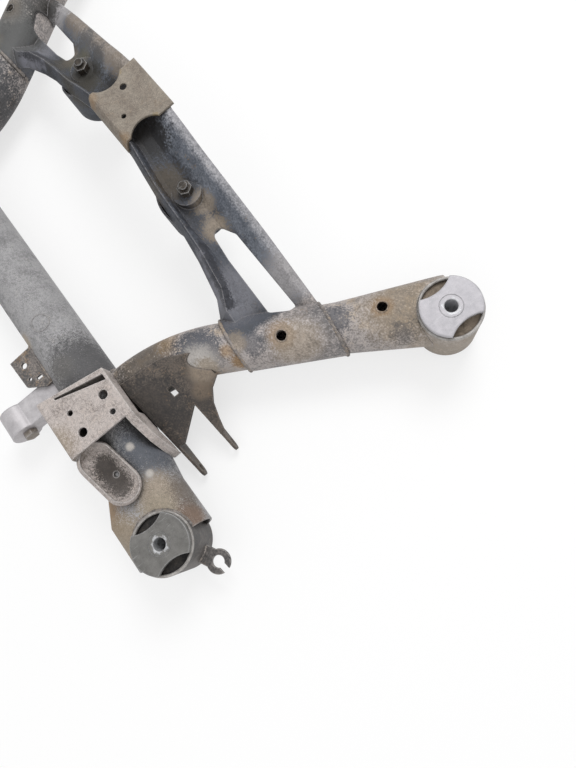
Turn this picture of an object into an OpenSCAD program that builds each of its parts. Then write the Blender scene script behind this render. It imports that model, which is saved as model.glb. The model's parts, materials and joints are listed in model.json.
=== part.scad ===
// Rear-axle subframe: two bent side tubes and a front cross tube carry an arched rear
// crossmember, four bushed body mounts and the brackets for the suspension arms.
// Origin: centre of the four body mounts, at the height of their top plates.
// +X is the left side of the car, +Y is rearward, +Z is up. Millimetres.

/* [Body mounts] */
// Half the distance between the left and right mounts
mount_half_track = 460; // [450:1:480]
// Half the distance between the front and rear mounts
mount_half_base = 225; // [220:1:240]
// Bolt bore through each bushing core
mount_bore_d = 16.5; // [12:0.5:18]
// Diameter of the core's top plate
plate_d = 76; // [72:1:80]
// Thickness of the top plate
plate_t = 6; // [4:0.5:7]
// Radius of the two scallops in the plate's edge
scallop_r = 45; // [40:1:60]
// Distance from the bore to the bottom of a scallop
scallop_reach = 23.5; // [20:0.5:28]
// Outside diameter of the core's barrel
core_d = 36; // [30:1:40]
// Length of the core from its top plate's face
core_len = 104; // [98:1:110]
// Outside diameter of a bushing sleeve
sleeve_d = 80; // [78:1:84]
// Wall of a bushing sleeve
sleeve_wall = 3.5; // [2.5:0.5:4.5]
// Depth of the sleeve's top rim under the plate's face
sleeve_top = 10; // [9:0.5:12]
// Depth of the sleeve's lower rim
sleeve_low = 86; // [84:1:90]
// Depth of the rubber inside the rims
rubber_inset = 4; // [2:0.5:6]

/* [Tubes] */
// Depth of the tubes' axes under the mount plates
tube_depth = 48; // [46:1:50]
// Wall of the tubes
tube_wall = 3; // [2:0.5:4]
// Diameter of the cross tube
cross_d = 80; // [76:1:82]
// Distance of the cross tube's axis behind the front mounts
cross_behind = 28; // [25:1:31]
// Distance inboard of the mounts at which the round part of the cross tube ends
round_in = 142; // [136:1:148]
// Distance inboard of the mounts at which the widened end is full
flare_in = 60; // [55:1:70]
// Distance outboard of the mounts at which the widened end is cut off
cross_past = 6; // [2:1:10]
// Width of the widened end
flare_w = 112; // [104:1:116]
// Height of the widened end
flare_h = 74; // [70:1:75]
// Diameter of a side tube at the cross tube
side_d = 68; // [66:1:72]
// Diameter of a side tube at the rear mount
side_end_d = 88; // [86:0.5:90]
// Distance from the mid-plane at which a side tube leaves the cross tube
side_root = 260; // [256:1:264]
// Bend radius of a side tube
side_bend_r = 250; // [220:1:280]
// Distance by which a side tube's axis passes inboard of the rear mount
side_aim_in = 12; // [8:0.5:14]
// Length of a side tube past the mount
side_past = 8; // [4:1:12]
// Distance along the straight part at which the side tube starts to widen
side_widen = 165; // [158:1:172]
// Diameter of the side tube's access holes
access_d = 14; // [10:0.5:16]
// Distance of the first access hole along the straight part
access_1 = 93; // [85:1:100]
// Distance of the second access hole along the straight part
access_2 = 222; // [215:1:228]
// Offset of the first access hole outboard of the tube's crown
access_1_off = 7; // [4:1:9]
// Offset of the second access hole inboard of the tube's crown
access_2_off = 7; // [4:1:9]

/* [Rear crossmember] */
// Height of the channel floor at the middle, above the mount plates
arch_rise = 42; // [38:1:46]
// Slope of the two sides of the arch
arch_slope = 19; // [18:0.25:20]
// Half length of the level middle
arch_flat_half = 36; // [30:1:40]
// Radius between the level middle and the slopes
arch_r = 150; // [120:1:170]
// Thickness of the pressed sheet
sheet = 3; // [2:0.5:4]
// Height of the front ridge and of the rear lip above the channel floor
flange_h = 20; // [16:1:22]
// Width of the skirt ahead of the front ridge
skirt_w = 9; // [7:0.5:11]
// Width of the skirt on the front legs
leg_skirt_w = 18; // [14:1:22]
// Width of the wall behind the front ridge
ridge_wall_w = 6; // [5:0.5:9]
// Width of the wall behind the ridge of the front legs
leg_wall_w = 24; // [18:1:28]
// Width of the sloped rear wall
bank_w = 24; // [20:1:28]
// Width of the lip on the rear wall
lip_w = 12; // [8:1:14]
// Distance of the channel's front edge ahead of the rear mounts, at the middle
front_ahead = 179; // [177:1:181]
// Distance of the channel's rear edge ahead of the rear mounts, at the middle
rear_ahead = 96; // [94:1:98]
// Distance of the channel's rear edge ahead of the rear mounts, at the side tube
rear_end_ahead = 113; // [111:1:116]
// Depth of the wrapped ends below the side tube's axis
wrap_below = 14; // [10:1:18]

/* [Saddle plate] */
// Half length of the saddle plate
saddle_half = 46; // [42:1:50]
// Radius of its round-cut ends
saddle_cut_r = 28; // [26:1:30]
// Half width of the plate left between the cuts
saddle_waist_half = 34; // [31:1:36]
// Depth of its folded front lip
saddle_lip = 15; // [10:1:18]
// Distance of the cuts' middles behind the channel's front edge
saddle_cut_in = 36; // [33:1:39]
// Diameter of the larger hole
saddle_hole_big = 10; // [8:0.5:12]
// Diameter of the smaller hole
saddle_hole_small = 7; // [5:0.5:8]
// Distance of the larger hole to the right of the mid-plane
saddle_big_x = 22; // [18:1:25]
// Distance of the larger hole behind the channel's front edge
saddle_big_in = 48; // [44:1:52]
// Distance of the smaller hole to the left of the mid-plane
saddle_small_x = 14; // [10:1:18]
// Distance of the smaller hole behind the channel's front edge
saddle_small_in = 24; // [20:1:28]

/* [Differential mounts] */
// Distance of a differential mount from the mid-plane
diff_x = 128; // [122:1:132]
// Distance of a differential mount ahead of the rear mounts
diff_ahead = 153; // [151:1:155]
// Outside diameter of the mount's cup
cup_d = 84; // [80:1:88]
// Wall of the cup
cup_wall = 3; // [2:0.5:4]
// Depth of the cup's open lower rim
cup_low = 32; // [28:1:36]
// Diameter of the flat seat pressed up for the nut
seat_d = 40; // [36:1:44]
// Height of the nut's seat above the mount plates
seat_z = 24; // [22:1:26]
// Height of the seat boss
seat_h = 18; // [17:0.5:20]
// Diameter of the stud
stud_d = 12; // [10:0.5:14]
// Clearance of a bolt or stud in its hole
bolt_gap = 0.3; // [0.1:0.1:0.6]
// Width across flats of the nuts and bolt heads
hex_af = 18; // [16:0.5:20]

/* [Arm brackets] */
// Thickness of the bracket sheet
bracket_t = 4; // [3:0.5:5]
// Height of the four-hole plate above the mount plates
bracket_top = 16; // [14:1:18]
// Inboard end of the bracket at its front
bracket_in = 222; // [219:1:225]
// Distance by which the inboard edge leans outboard toward the rear
bracket_skew = 18; // [14:1:20]
// Outboard edge of the four-hole plate
bracket_out = 311; // [306:1:314]
// Distance of the bracket's front wall ahead of the cross tube
bracket_ahead = 16; // [13:1:18]
// Gap between the cross tube and the bracket's rear wall
bracket_behind = 3; // [2:0.5:4]
// Radius of the rolled front edge
roll_r = 6; // [5:0.5:8]
// Width of the strap inboard of the slot
strap_w = 9; // [7:0.5:11]
// Width of the slot at its wide rear end
slot_w = 9; // [6:0.5:11]
// Width of the blade's folded edge
blade_fold = 11; // [9:0.5:13]
// Diameter of the two larger holes
plate_hole_big = 12.5; // [10:0.5:14]
// Diameter of the two smaller holes
plate_hole_small = 8; // [6:0.5:9]
// Diameter of the hole in the eye
eye_hole_d = 8; // [6:0.5:10]
// Radius of the eye's rounded lobe
eye_r = 25; // [23:1:27]
// Wall of the eye's lobe
eye_wall = 4; // [3:0.5:5]
// Length of the eye's lobe between its round ends
eye_len = 48; // [44:1:52]
// Depth of the lobe's middle under the mount plates
eye_depth = 2; // [0:0.5:4]

/* [Lower arm clevises] */
// Thickness of the clevis sheet
clevis_t = 4; // [3:0.5:5]
// Clear gap between the ears
clevis_gap = 52; // [48:1:56]
// Distance of the clevis bolt from the mid-plane
clevis_bolt_x = 397; // [390:1:402]
// Depth of the clevis bolt under the mount plates
clevis_bolt_depth = 92; // [88:1:96]
// Diameter of the clevis bolt holes
clevis_bore_d = 12.4; // [10:0.2:14]
// Depth of the clevis roof on the side tube's crown
roof_depth = 11; // [10:0.5:12]
// Depth of the clevis roof's low outer edge
roof_low_depth = 61; // [58:1:63]
// Distance of the roof's low outer edge from the mid-plane
roof_low_x = 366; // [362:1:370]
// How far the roof runs on along the rear ear
roof_run = 18; // [14:1:20]
// Radius of the ears' round tips
ear_tip_r = 12; // [10:0.5:14]

/* [Small brackets] */
// Thickness of the hook clip
clip_t = 4; // [3:0.5:5]
// Depth of the hook clip's top face
clip_depth = 58; // [50:1:66]
// Distance of the hook's ring from the mount axis
clip_reach = 62; // [60:1:66]
// Outside diameter of the hook's ring
clip_d = 32; // [28:1:34]
// Inside diameter of the hook's ring
clip_hole_d = 16; // [12:1:18]
// Width of the hook's arm
clip_arm_w = 24; // [20:1:26]
// Width of the hook's mouth
clip_mouth = 9; // [7:0.5:11]
// Turn of the hook's mouth away from the hook's direction
clip_turn = 21; // [15:1:30]
// Direction of the hook from the mount, from +X toward +Y
clip_angle = 28; // [20:1:35]
// Thickness of the tab bracket
tab_t = 4; // [3:0.5:5]
// Depth of the tab bracket's top face
tab_depth = 28; // [24:1:32]
// Distance of the tab's middle from the mid-plane
tab_x = 152; // [146:1:158]
// Diameter of the tab's larger hole
tab_hole_d = 9; // [7:0.5:10]
// Diameter of the tab's smaller hole
tab_hole_small_d = 5; // [4:0.5:6]
// Length of the tab's slot
tab_slot = 9; // [7:0.5:11]
// Reach of the tab ahead of the cross tube
tab_reach = 31; // [28:1:34]

/* [Stay arms] */
// Distance of a stay arm's middle from the mid-plane
stay_x = 194; // [190:1:195]
// Width of a stay arm
stay_w = 38; // [34:1:40]
// Distance of the stay's eye ahead of the cross tube's axis
stay_reach = 112; // [108:1:118]
// Radius of the stay's eye
stay_eye_r = 21; // [18:1:23]
// Height of the stay's neck
stay_neck_h = 27; // [22:1:30]
// Distance of the stay's bolt ahead of the cross tube's axis
stay_bolt_ahead = 108; // [104:1:112]

/* [Hidden] */
$fn = 64;
far = 400;
tube_z = -tube_depth;
cross_y = cross_behind - mount_half_base;
cross_round_half = mount_half_track - round_in;
flare_full = mount_half_track - flare_in;
cross_half_len = mount_half_track + cross_past;
cross_r = cross_d / 2;
side_r = side_d / 2;
side_end_r = side_end_d / 2;
sleeve_r = sleeve_d / 2;
core_r = core_d / 2;
// Bend of a side tube: it leaves the cross tube along +Y and ends on a line to the rear mount
bend_y = cross_y + cross_r;
aim_x = mount_half_track - side_aim_in - side_root - side_bend_r;
aim_y = mount_half_base - bend_y;
side_len = sqrt(aim_x * aim_x + aim_y * aim_y - side_bend_r * side_bend_r);
side_angle = atan2(aim_x, aim_y) + atan2(side_bend_r, side_len);
straight_x = side_root + side_bend_r * (1 - cos(side_angle));
straight_y = bend_y + side_bend_r * sin(side_angle);
// Lap and step by which the straight parts take in the ends of the bend
bend_lap = 1;
bend_step = 0.05;
// Crossmember: edges at the middle, start of the arch's slope, and half outlines in plan as
// distances from the mid-plane with steps from the edge at the middle
front_edge_y = mount_half_base - front_ahead;
rear_edge_y = mount_half_base - rear_ahead;
rear_end_step = rear_ahead - rear_end_ahead;
diff_y = mount_half_base - diff_ahead;
slope_x = arch_flat_half + arch_r * sin(arch_slope);
slope_z = arch_rise - arch_r * (1 - cos(arch_slope));
arch_end = 440;
arch_steps = 6;
front_steps = [[saddle_half + 2, 0], [110, -10], [165, -14], [200, -20], [250, -33], [276, -49], [372, -61]];
rear_steps = [[30, 0], [saddle_half, -6], [110, -9], [235, -12], [340, rear_end_step], [430, rear_end_step - 15]];
front_half = [for (p = front_steps) p + [0, front_edge_y]];
rear_half = [for (p = rear_steps) p + [0, rear_edge_y]];
leg_start = 165;
leg_full = 290;
leg_stations = [110, leg_start, 200, 235, 250, 276, leg_full, 340, arch_end];
leg_hole_steps = [[193, -1], [207, 6], [318, 7], [306, -8], [222, -5]];
leg_hole_r = 9;
skirt_drop = sheet - 1;
saddle_z = arch_rise + flange_h;
// Arm bracket: outer faces of its walls, places of its plate's holes and the ends of its eye
front_wall_y = cross_y - cross_r - bracket_ahead;
rear_wall_y = cross_y + cross_r + bracket_behind;
big_holes = [[bracket_out - 41, cross_y + 25], [bracket_out - 19, cross_y - 23]];
small_holes = [[bracket_out - 50, cross_y - 23], [bracket_out - 15, cross_y + 23]];
eye_start = [bracket_out + 14, cross_y - 36];
eye_end = eye_start + [eye_len, 10];
eye_hole = eye_start + [30, 10];
eye_flat = 0.62;
// Blade of the arm bracket: steps in X and Z from the plate's outboard edge, along its top and its underside
blade_edge = [[-1, 0], [11, -4], [37, -28], [55, -58], [60, -74]];
blade_under = [[45, -68], [24, -50], [-1, -38]];
// Clevis ears
ear_front_y = rear_wall_y;
ear_rear_y = rear_wall_y + clevis_t + clevis_gap;
ear_back_y = ear_rear_y + clevis_t;
// Clevis roof: its section in X and Z, and its plan, which runs in a hollow curve onto the rear ear
roof_line = [[side_root + 2, -roof_depth], [side_root + 24, -roof_depth - 1], [roof_low_x, -roof_low_depth],
  [roof_low_x + roof_run, -roof_low_depth - roof_run / 2]];
roof_plan = [[side_root + 2, ear_front_y], [roof_low_x - 4, ear_front_y], [roof_low_x - 2, ear_front_y + 12],
  [roof_low_x - 30, ear_rear_y], [roof_low_x + roof_run, ear_rear_y], [roof_low_x + roof_run, ear_back_y + 3],
  [roof_low_x, ear_back_y + 9], [roof_low_x - 18, ear_back_y + 17], [roof_low_x - 32, ear_back_y + 29],
  [roof_low_x - 40, ear_back_y + 44], [side_root + 30, ear_back_y + 40], [side_root + 8, ear_back_y]];
roof_slot = [side_root + 43, ear_rear_y - 13];
roof_slot_size = [12, 8];
stay_out = stay_x + stay_w / 2;
stay_bolt_y = cross_y - stay_bolt_ahead;

// Puts a left-hand shape on the left (1) or mirrors it to the right (-1)
module on_side(side) {
  if (side > 0) children();
  else mirror([1, 0, 0]) children();
}

// Lays an extrusion's height along +X, with the drawing's x along +Y and its y along +Z
module along_x() {
  rotate([90, 0, 90]) children();
}

// Extrudes an outline drawn in X and Z along +Y from y0 by depth
module along_y(y0, depth) {
  translate([0, y0 + depth, 0]) rotate([90, 0, 0]) linear_extrude(depth) children();
}

// Section of the widened tube end, made smaller by inset
module flare_section(inset) {
  end_r = flare_h / 2 - inset;
  spread = flare_w - flare_h;
  square([spread, 2 * end_r], center = true);
  for (s = [-1, 1]) translate([s * spread / 2, 0]) circle(end_r);
}

// Solid of the cross tube, made smaller by inset and longer by past
module cross_body(inset, past) {
  slice = 1;
  along_x() translate([cross_y, tube_z, -cross_round_half])
    cylinder(h = 2 * cross_round_half, r = cross_r - inset);
  for (s = [1, -1]) on_side(s) {
    hull() {
      along_x() translate([cross_y, tube_z, cross_round_half - slice])
        cylinder(h = slice, r = cross_r - inset, $fn = 48);
      along_x() translate([-mount_half_base, tube_z, flare_full])
        linear_extrude(slice) flare_section(inset, $fn = 48);
    }
    along_x() translate([-mount_half_base, tube_z, flare_full])
      linear_extrude(cross_half_len - flare_full + past) flare_section(inset);
  }
}

// Round part of the cross tube, for coping what is welded to it
module cross_round() {
  along_x() translate([cross_y, tube_z, -cross_round_half])
    cylinder(h = 2 * cross_round_half, r = cross_r);
}

// Space of a bushing sleeve
module sleeve_space(y) {
  translate([mount_half_track, y, -far / 2]) cylinder(h = far, r = sleeve_r);
}

// Straight part of a side tube, made larger by grow, which widens toward the rear mount
module side_straight(grow, past) {
  start_r = side_r + bend_step + grow;
  end_r = side_end_r + grow;
  translate([straight_x, straight_y, tube_z]) rotate([0, 0, -side_angle]) rotate([-90, 0, 0])
    rotate_extrude() polygon([[0, -bend_lap], [start_r, -bend_lap], [start_r, side_widen],
      [end_r, side_len], [end_r, side_len + past], [0, side_len + past]]);
}

// Solid of a side tube, made larger by grow: root, bend and straight part
module side_body(grow, past) {
  translate([side_root, cross_y, tube_z]) rotate([-90, 0, 0])
    cylinder(h = cross_r + bend_lap, r = side_r + bend_step + grow);
  translate([side_root + side_bend_r, bend_y, tube_z]) rotate([0, 0, 180 - side_angle])
    rotate_extrude(angle = side_angle) translate([side_bend_r, 0]) circle(side_r + grow);
  side_straight(grow, past);
}

// A drill that stands on the side tube's straight part
module access_drill(along, off) {
  translate([straight_x, straight_y, tube_z]) rotate([0, 0, -side_angle])
    translate([off, along, 0]) cylinder(h = far, d = access_d);
}

module cross_tube() {
  color("dimgray") difference() {
    cross_body(0, 0);
    cross_body(tube_wall, 1);
    for (s = [1, -1]) on_side(s) sleeve_space(-mount_half_base);
  }
}

module side_tube(side) {
  color("slategray") on_side(side) difference() {
    side_body(0, side_past);
    side_body(-tube_wall, side_past + 1);
    cross_round();
    sleeve_space(mount_half_base);
    access_drill(access_1, access_1_off);
    access_drill(access_2, -access_2_off);
  }
}

// A list of points in the opposite order
function backward(list) = [for (i = [len(list) - 1:-1:0]) list[i]];

// A half outline joined to its mirror image
function both(half) = concat([for (p = backward(half)) [-p[0], p[1]]], half);

// A list of points shifted along the drawing's y
function raised(list, dy) = [for (p = list) p + [0, dy]];

// Half of the arch's floor line, from the middle outward
arch_half = concat(
  [for (i = [0:arch_steps]) let (a = arch_slope * i / arch_steps)
    [arch_flat_half + arch_r * sin(a), arch_rise - arch_r * (1 - cos(a))]],
  [[arch_end, slope_z - (arch_end - slope_x) * tan(arch_slope)]]);

// Everything above a height over the arch's floor line
module over_arch(low) {
  line = both(arch_half);
  along_y(-far / 2, far) polygon(concat(raised(line, low), [[arch_end, far], [-arch_end, far]]));
}

// An upright prism on a plan outline
module upright(points) {
  translate([0, 0, -far / 2]) linear_extrude(far) polygon(points);
}

// Everything outboard of the side tube's axis
module beyond_side_axis() {
  translate([straight_x, straight_y, -far / 2]) rotate([0, 0, -side_angle])
    translate([0, -far, 0]) cube([far, 3 * far, far]);
}

// The long pointed hole between the two legs
module leg_hole() {
  translate([0, 0, -far / 2]) linear_extrude(far) hull() {
    for (p = leg_hole_steps) translate(p + [0, diff_y]) circle(leg_hole_r, $fn = 32);
  }
}

// Unit normal on the right-hand side of the way from a to b
function right_of(a, b) = let (d = (b - a) / norm(b - a)) [d[1], -d[0]];

// A line of points moved to its right by a sheet's thickness, with mitred corners
function beside(line, t) = let (last = len(line) - 1) [for (i = [0:last])
  let (n1 = right_of(line[max(i - 1, 0)], line[max(i, 1)]),
    n2 = right_of(line[min(i, last - 1)], line[min(i + 1, last)]))
  line[i] + t * (n1 + n2) / (1 + n1 * n2)];

// Pressed section of the channel at a distance from the mid-plane, as points in Y and Z
function channel_line(x) = let (
    front = lookup(x, front_half), rear = lookup(x, rear_half), z = lookup(x, arch_half),
    ridge = front + lookup(x, [[leg_start, skirt_w], [leg_full, leg_skirt_w]]),
    foot = ridge + lookup(x, [[leg_start, ridge_wall_w], [leg_full, leg_wall_w]]),
    top = z + flange_h, lip = rear - lip_w, round = flange_h / 8)
  [[front, z - skirt_drop], [ridge - round, top - round], [ridge, top], [ridge + round, top - round],
    [foot, z + round], [foot + 2 * round, z], [lip - bank_w - 2 * round, z], [lip - bank_w, z + round],
    [lip - round, top - round], [lip + round, top], [rear, top]];

// Solid between equal sections at increasing places along X, each a line and the line beside it
module swept(places, lines, t) {
  n = len(lines[0]);
  loops = [for (line = lines) concat(line, backward(beside(line, t)))];
  points = [for (i = [0:len(places) - 1]) for (p = loops[i]) [places[i], p[0], p[1]]];
  last = len(places) - 1;
  ring = 2 * n;
  sides = [for (i = [0:last - 1]) for (j = [0:ring - 1]) let (a = i * ring, k = (j + 1) % ring)
    for (f = [[a + j, a + k, a + ring + k], [a + j, a + ring + k, a + ring + j]]) f];
  caps = [for (j = [0:n - 2]) let (k = ring - 1 - j, e = last * ring)
    for (f = [[j, k, k - 1], [j, k - 1, j + 1], [e + j, e + j + 1, e + k - 1], [e + j, e + k - 1, e + k]]) f];
  polyhedron(points, concat(sides, caps));
}

// Floor, front ridge, sloped rear wall and lip of the channel
module channel() {
  half = concat([for (p = arch_half) if (p[0] < arch_end) p[0]], leg_stations);
  places = concat([for (x = backward(half)) -x], half);
  swept(places, [for (x = places) channel_line(abs(x))], sheet);
}

// End of the crossmember wrapped over a side tube
module wrap() {
  intersection() {
    side_straight(sheet, 0);
    upright(concat(both(front_half), backward(both(rear_half))));
    translate([0, -far / 2, tube_z - wrap_below]) cube([2 * far, far, far]);
  }
}

module rear_crossmember() {
  color("darkslategray") difference() {
    union() {
      difference() {
        channel();
        for (s = [1, -1]) on_side(s) beyond_side_axis();
      }
      for (s = [1, -1]) on_side(s) {
        wrap();
        translate([diff_x, diff_y, seat_z - seat_h]) cylinder(h = seat_h, d = seat_d);
      }
    }
    for (s = [1, -1]) on_side(s) {
      leg_hole();
      side_straight(0, side_past);
      access_drill(access_1, access_1_off);
      translate([diff_x, diff_y, -far / 2]) cylinder(h = far, d = stud_d + 2 * bolt_gap);
    }
  }
}

module saddle_plate() {
  press = channel_line(0);
  share = saddle_lip / (flange_h + skirt_drop);
  line = [press[1] * (1 - share) + press[0] * share, press[1], press[2], [rear_edge_y, saddle_z]];
  cut_x = saddle_waist_half + saddle_cut_r;
  color("tan") difference() {
    translate([-saddle_half, 0, 0]) along_x() linear_extrude(2 * saddle_half)
      polygon(concat(line, backward(beside(line, -sheet))));
    for (s = [-1, 1]) translate([s * cut_x, front_edge_y + saddle_cut_in, 0]) cylinder(h = far, r = saddle_cut_r);
    translate([saddle_small_x, front_edge_y + saddle_small_in, 0]) cylinder(h = far, d = saddle_hole_small);
    translate([-saddle_big_x, front_edge_y + saddle_big_in, 0]) cylinder(h = far, d = saddle_hole_big);
  }
}

// Plan of the bracket, unbounded to the front and rear
module bracket_plan() {
  in_rear = bracket_in + bracket_skew;
  polygon([[bracket_in, front_wall_y - far], [bracket_in, front_wall_y], [in_rear, rear_wall_y],
    [in_rear, rear_wall_y + far], [bracket_out, rear_wall_y + far], [bracket_out, front_wall_y - far]]);
}

// Four-hole plate of the arm bracket, with the slot that parts off its strap
module bracket_plate() {
  front = front_wall_y + roll_r;
  slot_front = cross_y - cross_r + 10;
  slot_rear = rear_wall_y - bracket_t;
  slot_x = bracket_in + strap_w;
  translate([0, 0, bracket_top - bracket_t]) linear_extrude(bracket_t) difference() {
    intersection() {
      bracket_plan();
      translate([0, front]) square([far, rear_wall_y - front]);
    }
    polygon([[slot_x, slot_front], [slot_x + bracket_skew - 2, slot_rear],
      [slot_x + bracket_skew - 2 + slot_w, slot_rear], [slot_x + slot_w / 3, slot_front]]);
    for (p = big_holes) translate(p) circle(d = plate_hole_big);
    for (p = small_holes) translate(p) circle(d = plate_hole_small);
  }
}

// Front and rear walls of the arm bracket, drawn from the cross tube's axis
module bracket_walls() {
  top = bracket_top - tube_z;
  fy = front_wall_y - cross_y;
  ry = rear_wall_y - cross_y;
  roll_y = top - roll_r;
  front_knee = cross_r - 10;
  rear_knee = cross_r + 3;
  intersection() {
    translate([0, cross_y, tube_z]) along_x() linear_extrude(far) {
      translate([fy + roll_r, roll_y]) circle(roll_r);
      polygon([[fy, roll_y], [fy + bracket_t, roll_y], [fy + 1, front_knee + 1], [3 - cross_r, -6],
        [-1 - cross_r, -8], [fy - 3, front_knee]]);
      polygon([[ry, top], [ry - bracket_t, top], [ry - bracket_t, rear_knee], [cross_r - 9, cross_r / 2 + 1],
        [cross_r - 5, cross_r / 2], [ry, rear_knee - 1]]);
    }
    translate([0, 0, -far / 2]) linear_extrude(far) bracket_plan();
  }
}

// Inboard wall of the arm bracket, from its strap down to the cross tube
module bracket_end() {
  low = tube_z + cross_r / 2;
  translate([0, 0, low]) linear_extrude(bracket_top - bracket_t / 2 - low) intersection() {
    difference() {
      bracket_plan();
      translate([bracket_t, 0]) bracket_plan();
    }
    translate([0, front_wall_y + bracket_t / 2]) square([far, rear_wall_y - front_wall_y - bracket_t]);
  }
}

// Blade that carries the rear wall outward, with its folded edge
module bracket_blade() {
  corner = [bracket_out, bracket_top];
  edge = [for (p = blade_edge) corner + p];
  under = [for (p = blade_under) corner + p];
  fold = raised(edge, -bracket_t);
  along_y(rear_wall_y - bracket_t, bracket_t) polygon(concat(edge, under));
  along_y(rear_wall_y - blade_fold, blade_fold) polygon(concat(edge, backward(fold)));
}

// Rounded lobe of the eye, as a body of radius r moved by shift
module eye_lobe(r, shift) {
  hull() {
    for (p = [eye_start, eye_end]) translate([p[0], p[1], -eye_depth] + shift)
      scale([1, 1, eye_flat]) sphere(r, $fn = 28);
  }
}

module arm_bracket(side) {
  color("rosybrown") on_side(side) difference() {
    union() {
      bracket_plate();
      bracket_walls();
      bracket_end();
      bracket_blade();
      difference() {
        eye_lobe(eye_r, [0, 0, 0]);
        eye_lobe(eye_r - eye_wall, [eye_wall / 2, eye_wall, 2 * eye_wall]);
      }
    }
    cross_body(0, 0);
    side_body(0, 0);
    translate([eye_hole[0], eye_hole[1], -far / 2]) cylinder(h = far, d = eye_hole_d);
  }
}

// Outline of a clevis ear in X and Z
module ear_outline() {
  tip = [clevis_bolt_x, -clevis_bolt_depth];
  root = side_root + 26;
  translate(tip) circle(ear_tip_r, $fn = 48);
  polygon([[root, -roof_depth - 2], [roof_low_x, -roof_low_depth], tip + [ear_tip_r / 2, ear_tip_r * 0.8],
    tip + [-ear_tip_r / 3, -ear_tip_r * 0.93], [roof_low_x - 20, -clevis_bolt_depth - 4],
    [root, -clevis_bolt_depth]]);
}

// Sloped roof of the clevis
module clevis_roof() {
  intersection() {
    along_y(ear_front_y, far) polygon(concat(roof_line, backward(beside(roof_line, clevis_t))));
    upright(roof_plan);
  }
}

module lower_clevis(side) {
  color("sienna") on_side(side) difference() {
    union() {
      along_y(ear_front_y, clevis_t) ear_outline();
      along_y(ear_rear_y, clevis_t) ear_outline();
      clevis_roof();
    }
    side_body(0, 0);
    along_y(-far, far) translate([clevis_bolt_x, -clevis_bolt_depth]) circle(d = clevis_bore_d);
    translate([roof_slot[0], roof_slot[1], -far / 2]) cube([roof_slot_size[0], roof_slot_size[1], far]);
  }
}

module sleeve(side, y) {
  color("gray") on_side(side) translate([mount_half_track, y, -sleeve_low]) difference() {
    cylinder(h = sleeve_low - sleeve_top, r = sleeve_r);
    translate([0, 0, -1]) cylinder(h = sleeve_low, r = sleeve_r - sleeve_wall);
  }
}

module bush_rubber(side, y) {
  low = -sleeve_low + rubber_inset;
  color("black") on_side(side) translate([mount_half_track, y, low]) difference() {
    cylinder(h = sleeve_low - sleeve_top - 2 * rubber_inset, r = sleeve_r - sleeve_wall);
    translate([0, 0, -1]) cylinder(h = sleeve_low, r = core_r);
  }
}

module bush_core(side, y) {
  color("silver") on_side(side) translate([mount_half_track, y, 0]) difference() {
    union() {
      translate([0, 0, -core_len]) cylinder(h = core_len, r = core_r);
      translate([0, 0, -plate_t]) cylinder(h = plate_t, d = plate_d);
    }
    translate([0, 0, -core_len - 1]) cylinder(h = core_len + 2, d = mount_bore_d);
    for (s = [-1, 1]) translate([s * (scallop_reach + scallop_r), 0, -plate_t - 1])
      cylinder(h = plate_t + 2, r = scallop_r);
  }
}

module hook_clip(side) {
  color("dimgray") on_side(side)
    translate([mount_half_track, -mount_half_base, -clip_depth - clip_t]) difference() {
      rotate([0, 0, clip_angle]) linear_extrude(clip_t) difference() {
        union() {
          translate([clip_reach, 0]) circle(d = clip_d);
          translate([0, -clip_arm_w / 2]) square([clip_reach, clip_arm_w]);
        }
        translate([clip_reach, 0]) circle(d = clip_hole_d);
        translate([clip_reach, 0]) rotate(-clip_turn) translate([0, -clip_mouth / 2]) square([clip_d, clip_mouth]);
      }
      translate([0, 0, -1]) cylinder(h = clip_t + 2, r = sleeve_r);
    }
}

module tab_bracket(side) {
  front = cross_y - cross_r - tab_reach;
  color("dimgray") on_side(side) difference() {
    translate([0, 0, -tab_depth - tab_t]) linear_extrude(tab_t) difference() {
      polygon([[tab_x - 32, cross_y], [tab_x + 34, cross_y], [tab_x + 34, front + 26],
        [tab_x + 17, front + 2], [tab_x - 28, front]]);
      translate([tab_x - 12, front + 15]) circle(d = tab_hole_d);
      translate([tab_x + 10, front + 12]) circle(d = tab_hole_small_d);
      translate([tab_x + 14, front + 20]) square([tab_hole_small_d, tab_slot]);
    }
    cross_round();
  }
}

module stay_arm(side) {
  color("lightgray") on_side(side) difference() {
    translate([stay_x - stay_w / 2, cross_y, tube_z]) along_x() linear_extrude(stay_w) {
      translate([-stay_reach, 0]) circle(stay_eye_r);
      translate([-stay_reach, -stay_neck_h / 2]) square([stay_reach, stay_neck_h]);
    }
    cross_round();
    translate([0, stay_bolt_y, tube_z]) along_x() cylinder(h = far, d = stud_d + 2 * bolt_gap);
  }
}

module stay_bolt(side) {
  head_h = 8;
  past = 6;
  color("gray") on_side(side) translate([0, stay_bolt_y, tube_z]) along_x() {
    translate([0, 0, stay_out]) cylinder(h = head_h, d = hex_af / cos(30), $fn = 6);
    translate([0, 0, stay_out - stay_w - past]) cylinder(h = stay_w + past + 1, d = stud_d);
  }
}

module diff_cup(side) {
  color("darkslategray") on_side(side) difference() {
    translate([diff_x, diff_y, -cup_low]) difference() {
      cylinder(h = far, d = cup_d);
      translate([0, 0, -1]) cylinder(h = far + 2, d = cup_d - 2 * cup_wall);
    }
    over_arch(-sheet);
  }
}

module diff_rubber(side) {
  top = slope_z - (diff_x + cup_d / 2 - slope_x) * tan(arch_slope) - sheet - 1;
  low = -cup_low + rubber_inset;
  color("black") on_side(side) translate([diff_x, diff_y, low]) difference() {
    cylinder(h = top - low, d = cup_d - 2 * cup_wall);
    translate([0, 0, -1]) cylinder(h = far, d = 2 * stud_d);
  }
}

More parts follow.
